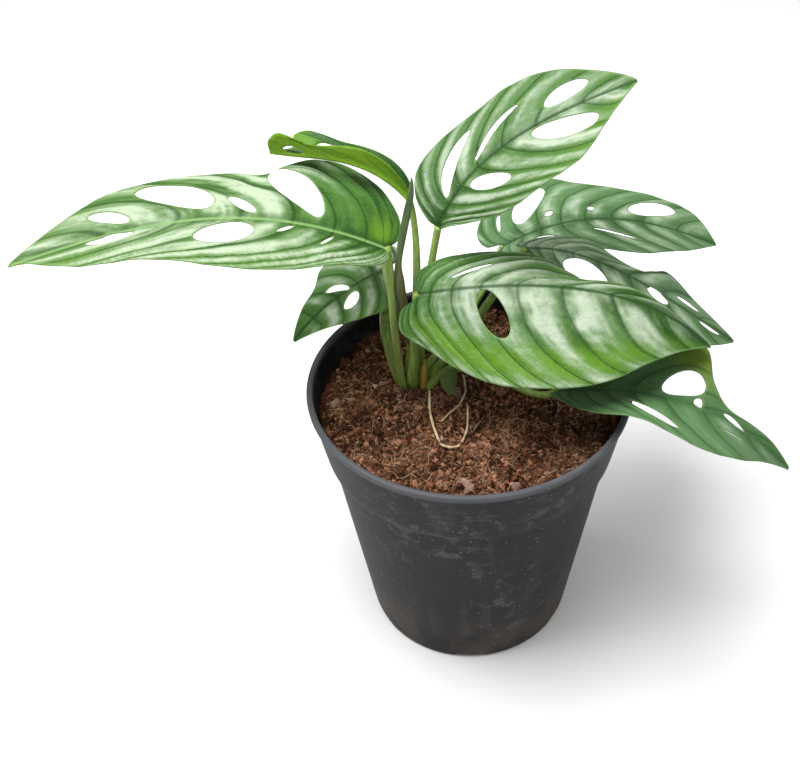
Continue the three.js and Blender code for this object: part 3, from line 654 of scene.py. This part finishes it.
def rolled_profile(step, twist):
    """A sheet rolled on itself: the radius grows by step round one turn, and its free edge winds by twist."""
    return lambda angle, share: 1 - step / 2 + step * ((angle - twist * share) % TURN) / TURN


def stalk(name, finish):
    """A tube along a cubic from beside the stem to the blade's base, with its foot sunk towards the stem."""
    bearing, height, clear, lift, drop, radii = STALKS[name]
    foot = beside(bearing, height, clear, radii[0])
    base = np.asarray(LEAVES[name]["rib"][0], float) + STEM_FOOT
    handles = [foot, foot + lift, base + drop, base]
    path = bezier(handles, np.linspace(0, 1, 60))[0]
    inward = STEM_FOOT - foot
    sunk = np.array([foot + inward * 0.25 + [0, 0, -6], foot + inward * 0.12 + [0, 0, -3]])
    path = np.concatenate([sunk, path])
    outward = np.array([base[0] - foot[0], base[1] - foot[1], 0])
    radii = [radii[0] * 1.15, *radii, radii[-1] * 1.05]
    corners, faces, uv = tube(path, radii, 28, normalized(np.cross(UP, outward)), stalk_profile)
    make_piece("petiole_" + name, corners, faces, finish, ["stalk_" + name], uv=uv)


def stem(finish):
    """An upright tube, a little three-sided, with five swollen joints."""
    def profile(angle, share):
        return 1 + 0.06 * np.exp(-((share * 5 % 1 - 0.5) / 0.08) ** 2) + 0.03 * np.cos(3 * angle)

    path = np.linspace(STEM_FOOT - [0, 0, 8], STEM_FOOT + [0, 0, STEM_HEIGHT], 60)
    corners, faces, uv = tube(path, [3.6, 4, 3.2, 2], 32, np.array([1.0, 0, 0]), profile)
    make_piece("stem_core", corners, faces, finish, ["stem"], uv=uv)


def furled_blade(finish):
    """A rolled sheet along a bent line from the stem's top, thick below and drawn out to a point."""
    places = [(0, 0, 25), (.1, -1, 27), (-1.6, -1, 36), (-3.1, -1, 44.7), (-4.3, -1, 58.5), (-3.9, -1, 70.8),
              (-1.9, -1, 82.1), (.7, -1, 94.6), (2.7, -1, 104.2), (3.4, -1, 112.2)]
    radii = [1.6, 2, 2.3, 2.5, 2.6, 2.65, 2.75, 2.6, 1.6, 1.55, 1.6, 1.65, 1.6, 1.4, 1, .3]
    path = through(places, np.linspace(0, 1, 130)) + STEM_FOOT
    corners, faces, uv = tube(path, radii, 40, np.array([1.0, 0.2, 0]), rolled_profile(0.16, 4.5))
    make_piece("furled_blade", corners, faces, finish, ["furled_leaf"], uv=uv)


def bud(finish):
    """A short rolled sheath that leans out from the stem's foot."""
    path = beside(322, 2.2, 0, 1.6) + np.linspace(0, 1, 30)[:, None] * np.array([1.4, -.8, 18]) - [0, 0, 1.5]
    corners, faces, uv = tube(path, [1.5, 1.8, 1.4, .3], 24, np.array([1.0, 0, 0]), rolled_profile(0.2, 2))
    make_piece("bud_sheath", corners, faces, finish, ["bud"], uv=uv)


def soil_top(x, y):
    """Low swells of the soil, without its crumbs."""
    return SOIL_Z + 1.2 * (np.sin(x * 0.11 + 1) * np.cos(y * 0.13) + 0.5 * np.sin(x * 0.23 - y * 0.19))


# Plans of the two air roots, from the stem's foot.
ROOT_LOOP_PLAN = [[8, -7], [9, -24], [13, -41], [17, -45], [21, -44], [24, -39], [26, -31], [26, -17]]
ROOT_SHORT_PLAN = [[24, 4], [25, -8], [22, -17], [14, -28]]


def root_piece(name, node, plan, radius, finish):
    """A thin root that follows plan points over the soil, a little uneven in thickness and height."""
    share = np.linspace(0, 1, 120)
    xy = through(plan, share) + STEM_FOOT[:2]
    z = soil_top(xy[:, 0], xy[:, 1]) + radius + 1.0 + 0.5 * np.sin(share * 17)
    path = np.column_stack([xy, z])
    corners, faces, uv = tube(path, [radius, radius, radius * 0.8], 10, np.array([0.1, 0.1, 1.0]),
                              lambda angle, u: 1 + 0.14 * np.sin(u * 61 + 2 * angle))
    make_piece(name, corners, faces, finish, [node], uv=uv)


# ---- pot and soil

def pot_wall():
    """The wall, collar and lip: a turned profile, a bit out of round, with notches cut into the foot."""
    inner_collar, inner_shoulder = COLLAR_RADIUS - WALL, SHOULDER_RADIUS - WALL
    lip_inner = RIM_RADIUS - LIP_WIDTH
    foot = [(-5.5, 0), (-2.5, 0), (-1.1, .35), (-.3, 1.4), (0, 3.2), (.45, 6)]
    shoulder = [(-.3, -4.6), (0, -2.2), (.4, -1.2), (1.4, -.5)]
    collar = [(-.4, 0), (0, .9), (.5, 3.5)]
    rim = [(-1.5, -5), (-1.2, -3.4), (-.5, -2.8), (-.1, -2.2), (0, -1.4), (-.2, -.6), (-.8, -.1), (-1.5, 0)]
    lip = [(.5, -.1), (.1, -.5), (0, -1.3), (0, -3)]
    steps = [(foot, FOOT_RADIUS, 0), (shoulder, SHOULDER_RADIUS, COLLAR_Z), (collar, COLLAR_RADIUS, COLLAR_Z),
             (rim, RIM_RADIUS, POT_HEIGHT), (lip, lip_inner, POT_HEIGHT)]
    profile = [(r + dr, z + dz) for points, r, z in steps for dr, dz in points]
    profile += [(inner_collar, COLLAR_Z), (inner_shoulder, COLLAR_Z - 2), (FOOT_RADIUS - WALL, 4),
                (FOOT_RADIUS - 3.4, FLOOR_TOP), (FOOT_RADIUS - 5.5, FLOOR_TOP)]
    profile = np.array(profile, float)
    angle = np.arange(POT_SIDES) * TURN / POT_SIDES
    radius = profile[:, 0][:, None] * np.ones(POT_SIDES)
    height = profile[:, 1][:, None] * np.ones(POT_SIDES)
    sector = TURN / NOTCH_COUNT
    turn = (angle + np.pi / 2) % sector
    notch = np.minimum(turn, sector - turn) * FOOT_RADIUS < NOTCH_HALF_WIDTH
    raised = np.minimum(height + FLOOR_TOP - 0.1, FLOOR_TOP)
    height = np.where(notch[None, :] & (height < FLOOR_TOP), raised, height)
    wobble = 0.12 * np.sin(2 * angle + 0.4) + 0.06 * np.sin(5 * angle)
    radius = radius + wobble[None, :] * np.clip(height / POT_HEIGHT, 0, 1)
    corners = np.stack([radius * np.cos(angle), radius * np.sin(angle), height], -1).reshape(-1, 3)
    near = np.arange(POT_SIDES)
    after = (near + 1) % POT_SIDES
    last = (len(profile) - 1) * POT_SIDES
    shut = [np.stack([last + near, last + after, after], -1), np.stack([last + near, after, near], -1)]
    faces = np.concatenate([grid_faces(len(profile), POT_SIDES, wrap=True), *shut])
    uv = np.stack(np.broadcast_arrays(angle[None, :] / TURN, profile[:, 1][:, None] / 150), -1)
    return corners, faces, uv.reshape(-1, 2)


def pot_floor():
    """A round plate with a circle of round holes: grid places near a hole's rim are moved onto it."""
    rings, sides = 44, POT_SIDES // 2
    angle = np.arange(0, POT_SIDES, 2) * TURN / POT_SIDES
    r, a = np.meshgrid(np.linspace(0.5, FOOT_RADIUS - 4.5, rings), angle, indexing="ij")
    x, y = (r * np.cos(a)).ravel(), (r * np.sin(a)).ravel()
    sector = TURN / HOLE_COUNT
    hole = np.round(np.arctan2(y, x) / sector) * sector
    cx, cy = HOLE_CIRCLE * np.cos(hole), HOLE_CIRCLE * np.sin(hole)
    away = np.maximum(np.hypot(x - cx, y - cy), 1e-6)
    push = np.where(np.abs(away - HOLE_RADIUS) < 0.6, (HOLE_RADIUS - away) / away, 0)
    x, y = x + (x - cx) * push, y + (y - cy) * push
    faces = grid_faces(rings, sides, wrap=True)
    first = faces[:, 0]
    faces = faces[np.hypot(x[faces].mean(1) - cx[first], y[faces].mean(1) - cy[first]) > HOLE_RADIUS]
    step = np.arange(1, sides - 1)
    faces = np.concatenate([faces, np.stack([0 * step, step + 1, step], -1)])
    flat, skin = 0 * x, 0.05
    sheets = [np.column_stack([x, y, flat + z]) for z in (FLOOR_TOP - skin, skin)]
    corners, faces = two_faced(*sheets, faces)
    return corners, faces, np.zeros((len(corners), 2))


def pot(finish):
    """The wall and the floor as one piece."""
    corners, faces, uv = joined([pot_wall(), pot_floor()])
    make_piece("pot_shell", corners, faces, finish, ["pot"], uv=uv)


def soil_height(x, y):
    """Lumpy coir: the smooth top and random ripples of four sizes, with the fine ones pushed into crumbs."""
    crumbs = np.abs(ripple(x, y, 4.2, 11)) * 3.4 + np.abs(ripple(x, y, 2.1, 12)) * 1.6
    return soil_top(x, y) - 1.6 + 1.2 * ripple(x, y, 14, 13) + crumbs + 0.7 * ripple(x, y, 7, 14)


def soil_bed(finish):
    """A closed turned shape: its top carries the lumpy heights, and its side follows the pot's inner wall."""
    sides, rings = 420, 120
    angle = np.arange(sides) * TURN / sides
    r = np.linspace(0.2, SOIL_EDGE, rings)[:, None] * np.ones(sides)
    x, y = r * np.cos(angle), r * np.sin(angle)
    z = soil_height(x, y)
    down = np.array([(SOIL_EDGE + 0.1, SOIL_Z - 7), (67, COLLAR_Z + 1), (64.8, COLLAR_Z - 3),
                     (50.5, 5), (0.2, 5)])
    out, drop = down[:, :1] * np.ones(sides), down[:, 1:] * np.ones(sides)
    skirt = np.stack([out * np.cos(angle), out * np.sin(angle), drop], -1)
    corners = np.concatenate([np.stack([x, y, z], -1), skirt]).reshape(-1, 3)
    rows = rings + len(down)
    step = np.arange(1, sides - 1)
    middle = np.stack([0 * step, step, step + 1], -1)
    under = np.stack([0 * step, step + 1, step], -1) + (rows - 1) * sides
    faces = np.concatenate([grid_faces(rows, sides, wrap=True)[:, [0, 2, 1]], middle, under])
    make_piece("soil_bed", corners, faces, finish, ["soil"])


def scattered(count, seed, reach=SOIL_EDGE - 2.0):
    """Random places over the soil's disc, even by area."""
    rng = np.random.default_rng(seed)
    r = reach * np.sqrt(rng.uniform(0, 1, count))
    a = rng.uniform(0, TURN, count)
    return rng, np.column_stack([r * np.cos(a), r * np.sin(a)])


def turned(rng, count):
    """Random turns as an array of 3 x 3 matrices, from unit quaternions."""
    w, x, y, z = normalized(rng.normal(size=(count, 4))).T
    rows = [[1 - 2 * (y * y + z * z), 2 * (x * y - z * w), 2 * (x * z + y * w)],
            [2 * (x * y + z * w), 1 - 2 * (x * x + z * z), 2 * (y * z - x * w)],
            [2 * (x * z - y * w), 2 * (y * z + x * w), 1 - 2 * (x * x + y * y)]]
    return np.moveaxis(np.array(rows), -1, 0)


def crumbs(name, count, sizes, squash, seed, finish):
    """Many small lumps: one twenty-sided shape, stretched, turned and set on the soil at random."""
    golden = (1 + 5 ** 0.5) / 2
    corner = normalized(np.array([[-1, golden, 0], [1, golden, 0], [-1, -golden, 0], [1, -golden, 0],
                                  [0, -1, golden], [0, 1, golden], [0, -1, -golden], [0, 1, -golden],
                                  [golden, 0, -1], [golden, 0, 1], [-golden, 0, -1], [-golden, 0, 1]]))
    face = np.array([[0, 11, 5], [0, 5, 1], [0, 1, 7], [0, 7, 10], [0, 10, 11], [1, 5, 9], [5, 11, 4],
                     [11, 10, 2], [10, 7, 6], [7, 1, 8], [3, 9, 4], [3, 4, 2], [3, 2, 6], [3, 6, 8],
                     [3, 8, 9], [4, 9, 5], [2, 4, 11], [6, 2, 10], [8, 6, 7], [9, 8, 1]])
    rng, xy = scattered(count, seed)
    size = rng.uniform(*sizes, count) * rng.uniform(0.5, 1, count)
    shape = corner[None] * (1 + 0.3 * rng.uniform(-1, 1, (count, 12, 1)))
    shape = shape * size[:, None, None] * np.array(squash)
    shape = np.einsum("nij,nkj->nki", turned(rng, count), shape)
    place = np.column_stack([xy, soil_height(xy[:, 0], xy[:, 1]) + size * 0.15])
    corners = (place[:, None] + shape).reshape(-1, 3)
    faces = (face[None] + 12 * np.arange(count)[:, None, None]).reshape(-1, 3)
    shade = np.repeat(rng.uniform(0, 1, count), 12)
    make_piece(name, corners, faces, finish, values={"shade": shade}, smooth=False)


def fibres(name, count, length, radius, seed, finish):
    """Many thin strands: a three-sided tube along a bent arc, turned and laid on the soil at random."""
    stations = 7
    rng, xy = scattered(count, seed, SOIL_EDGE - 5)
    u = np.linspace(-0.5, 0.5, stations)
    span = rng.uniform(*length, count)
    bend = rng.uniform(-0.9, 0.9, count)
    way = rng.uniform(0, TURN, count)
    x = span[:, None] * u
    y = bend[:, None] * span[:, None] * (u ** 2 - 0.08) + 0.05 * span[:, None] * np.sin(9 * u + way[:, None])
    tilt = rng.uniform(-0.18, 0.18, count)[:, None]
    px = xy[:, :1] + x * np.cos(way)[:, None] - y * np.sin(way)[:, None]
    py = xy[:, 1:] + x * np.sin(way)[:, None] + y * np.cos(way)[:, None]
    pz = soil_height(px, py) + 0.35 + x * tilt + rng.uniform(0, 0.5, count)[:, None]
    inside = np.hypot(px, py).max(1) < SOIL_EDGE - 1
    path = np.stack([px, py, pz], -1)[inside]
    count = len(path)
    along = normalized(np.gradient(path, axis=1))
    a = normalized(np.cross(along, UP))
    b = np.cross(a, along)
    angle = np.arange(3) * TURN / 3
    r = (radius * rng.uniform(0.5, 1.2, count)[:, None] * (1 - 0.7 * (2 * u) ** 4)[None])[..., None, None]
    ring = a[:, :, None] * np.cos(angle)[:, None] + b[:, :, None] * np.sin(angle)[:, None]
    corners = (path[:, :, None] + r * ring).reshape(-1, 3)
    one = np.concatenate([grid_faces(stations, 3, wrap=True)[:, [0, 2, 1]], [[0, 1, 2]],
                          [[3 * stations - 3, 3 * stations - 1, 3 * stations - 2]]])
    faces = (one[None] + 3 * stations * np.arange(count)[:, None, None]).reshape(-1, 3)
    shade = np.repeat(rng.uniform(0, 1, count), 3 * stations)
    make_piece(name, corners, faces, finish, values={"shade": shade})


# ---- finishes

def pot_finish():
    """Charcoal moulded plastic: grain, dusty scuffs, rubs round the collar, faint upright streaks, pale
    specks, a brown tint low down and a lighter lip."""
    f = Finish("pot_plastic", Specular_IOR_Level=0.16)
    place, height = f.place, f.height()
    cloud = place.noise(22, 5, 0.6)
    scuff = place.noise(130, 6, 0.7).ramp(0.50, 0.68) * place.noise(17, 3).ramp(0.42, 0.60)
    collar = height.ramp((COLLAR_Z - 23) * MM, (COLLAR_Z + 12) * MM)
    rub = place.stretched(0.25, 0.25, 1).noise(420, 4, 0.6).ramp(0.55, 0.72) * collar
    streak = place.stretched(1, 1, 0.08).noise(120, 4).ramp(0.5, 0.75)
    speck = place.cells(300).ramp(0.16, 0.06)
    colour = cloud.ramp(0.3, 0.7).mix((.0035, .0036, .0038), (.0125, .0126, .0130))
    colour = (scuff * 0.75).mix(colour, (.090, .091, .093))
    colour = (rub * 0.45).mix(colour, (.070, .071, .073))
    colour = (streak * 0.25).mix(colour, (.045, .048, .050))
    # A brown tint towards the bottom.
    low = height.ramp(50 * MM, 0.0) * place.noise(38, 5).ramp(0.35, 0.65)
    colour = (low * 0.65).mix(colour, (.075, .052, .038))
    colour = (speck * place.noise(40, 2).ramp(0.42, 0.6) * 0.8).mix(colour, (.20, .195, .185))
    lip = height.ramp((POT_HEIGHT - 4.5) * MM, (POT_HEIGHT - 0.5) * MM)
    colour = (lip * 0.7).mix(colour, (.100, .105, .115))
    rough = 0.46 + cloud * 0.22 + scuff * 0.2 - lip * 0.06
    return f.feed(colour, rough, place.noise(900, 3) * 0.5 + scuff * 0.4, 0.12, 0.0004)


def coir_finish(name, dark, mid, light, shade_from_piece=False):
    """Dull fibre: flecks from dark to mid, light patches, dark patches painted as the shade of hollows, and a
    shade for each loose bit.
    """
    f = Finish(name, Specular_IOR_Level=0.06, Roughness=0.92)
    place = f.place
    fleck = place.noise(420, 5, 0.7)
    patch = place.noise(55, 4)
    colour = fleck.ramp(0.35, 0.62).mix(dark, mid)
    colour = (patch.ramp(0.45, 0.7) * 0.6).mix(colour, light)
    # Painted shade: random dark patches standing for the shade in hollows between fibres.
    colour = (place.noise(85, 3).ramp(0.48, 0.36) * 0.7).mix(colour, dark)
    if shade_from_piece:
        shade = f.value("shade")
        colour = (shade.ramp(0.6, 1.0) * 0.8).mix(colour, light)
        colour = (shade.ramp(0.5, 0.05) * 0.85).mix(colour, dark)
    return f.feed(colour, None, fleck, 0.6, 0.0008)


def stalk_finish(name, green, dark, brown, sheath=0.0):
    """Streaked green skin with brown patches and brown channel edges low down; the channel lies a quarter
    turn round. A sheath wraps the foot, up to that many decimetres, in brown rings."""
    f = Finish(name, Specular_IOR_Level=0.45)
    along, round_ = f.uv()
    place = f.place
    grain = place.stretched(1, 1, 0.15).noise(500, 4)
    patch = place.noise(60, 3)
    off = abs(round_ - 0.25) * TURN
    lines = abs(off - 0.85).ramp(0.32, 0.1) * along.ramp(0.55, 0.25)
    colour = grain.ramp(0.3, 0.7).mix(dark, green)
    colour = (patch.ramp(0.5, 0.7) * 0.35).mix(colour, brown)
    colour = (lines * 0.55).mix(colour, brown)
    if sheath:
        wrapped = along.ramp(sheath, sheath - 0.03)
        rings = abs((along * 14).fraction() - 0.5).ramp(0.12, 0.02)
        colour = (wrapped * (0.45 + rings * 0.5)).mix(colour, brown)
    return f.feed(colour, 0.42 + grain * 0.2, grain, 0.25, 0.0005)


# Blade colours: deep beside the veins (painted shade and darker tone), between them, painted sheen,
# back and painted glow, net and edge, and the line on the rib (painted shade where it is dark).
LEAF_COLOURS = {
    "fresh": [(.011, .046, .005), (.060, .146, .030), (.38, .45, .34),
              (.085, .195, .010), (.17, .30, .09), (.014, .052, .008)],
    "light": [(.012, .050, .006), (.062, .155, .026), (.40, .48, .34),
              (.090, .200, .012), (.17, .30, .09), (.19, .34, .11)],
    "grey": [(.020, .062, .016), (.085, .175, .064), (.36, .45, .32),
             (.09, .17, .035), (.13, .23, .10), (.022, .066, .020)],
    "dull": [(.028, .076, .024), (.078, .165, .062), (.27, .35, .25),
             (.13, .19, .012), (.13, .22, .08), (.05, .12, .04)],
    "young": [(.010, .045, .010), (.035, .105, .022), (.28, .38, .22),
              (.085, .21, .006), (.15, .29, .02), (.06, .16, .02)],
}
FINISHES = {key: leaf_finish("leaf_" + key, *colours) for key, colours in LEAF_COLOURS.items()}
STALK_LOOK = stalk_finish("stalk_green", (.27, .40, .08), (.14, .24, .04), (.24, .19, .06))
SPEAR_LOOK = stalk_finish("furled_green", (.12, .19, .07), (.055, .10, .035), (.17, .14, .055), sheath=0.5)
BUD_LOOK = stalk_finish("bud_sheath", (.50, .34, .07), (.34, .24, .05), (.24, .10, .03))
ROOT_LOOK = coir_finish("root_cream", (.36, .26, .14), (.60, .48, .30), (.70, .60, .42))
COIR_LOOK = coir_finish("coir", (.010, .004, .002), (.090, .034, .017), (.19, .080, .044))
CRUMB_LOOK = coir_finish("coir_crumbs", (.028, .010, .005), (.185, .068, .032), (.40, .20, .12), True)
STRAND_LOOK = coir_finish("coir_strands", (.12, .06, .03), (.40, .23, .13), (.62, .45, .29), True)
FLAKE_LOOK = coir_finish("bark_flakes", (.14, .08, .06), (.30, .20, .16), (.44, .33, .27), True)

# ---- build

for leaf_name, leaf in LEAVES.items():
    blade(leaf_name, FINISHES[leaf["finish"]])
for stalk_name in STALKS:
    stalk(stalk_name, STALK_LOOK)

stem(STALK_LOOK)
furled_blade(SPEAR_LOOK)
bud(BUD_LOOK)
root_piece("root_loop", "air_root_loop", ROOT_LOOP_PLAN, 0.6, ROOT_LOOK)
root_piece("root_short", "air_root_short", ROOT_SHORT_PLAN, 0.5, ROOT_LOOK)
pot(pot_finish())
soil_bed(COIR_LOOK)
crumbs("coir_crumbs", 8600, (0.35, 1.35), (1.3, 1, 0.8), 21, CRUMB_LOOK)
crumbs("coir_lumps", 260, (1.3, 2.6), (1.2, 1, 0.7), 22, CRUMB_LOOK)
crumbs("bark_flakes", 34, (2.4, 4.2), (1.5, 0.8, 0.22), 23, FLAKE_LOOK)
fibres("coir_strands", 1500, (3, 12), 0.13, 24, STRAND_LOOK)
fibres("coir_fluff", 3200, (1.5, 5), 0.12, 25, STRAND_LOOK)

# ---- stage

def soft_light(name, place, aim, size, watts):
    """A square area light at a place (m), turned to face aim."""
    light = bpy.data.lights.new(name, "AREA")
    light.shape = "SQUARE"
    light.size = size
    light.energy = watts
    lamp = linked(name, light)
    lamp.location = place
    dx, dy, dz = np.array(place) - np.array(aim)
    lamp.rotation_euler = (math.atan2(math.hypot(dx, dy), dz), 0, math.atan2(dy, dx) + math.pi / 2)


floor_mesh = bpy.data.meshes.new("studio_floor")
floor_mesh.from_pydata([(-4, -4, 0), (4, -4, 0), (4, 4, 0), (-4, 4, 0)], [], [(0, 1, 2, 3)])
floor_mesh.materials.append(Finish("studio_floor", Base_Color=(.93, .93, .93, 1), Roughness=0.8).material)
linked("studio_floor", floor_mesh)

world = bpy.data.worlds.new("studio")
world.use_nodes = True
world.node_tree.nodes["Background"].inputs["Color"].default_value = (1, 1, 1, 1)
world.node_tree.nodes["Background"].inputs["Strength"].default_value = 0.45
bpy.context.scene.world = world
bpy.context.scene.view_settings.view_transform = "Standard"

soft_light("overhead", place=(-0.35, 0.02, 1.3), aim=(0, 0, 0.18), size=0.9, watts=26)
soft_light("front_fill", place=(0.5, -1.1, 1.0), aim=(0, 0, 0.1), size=1.2, watts=3)

camera = linked("camera", bpy.data.cameras.new("camera"))
camera.data.lens = 47.0
camera.data.sensor_width = 36.0
camera.data.shift_x = -0.087
camera.data.clip_start = 0.01
camera.location = (0, -0.3632, 0.4618)
camera.rotation_euler = (math.radians(48.54), 0, 0)
bpy.context.scene.camera = camera
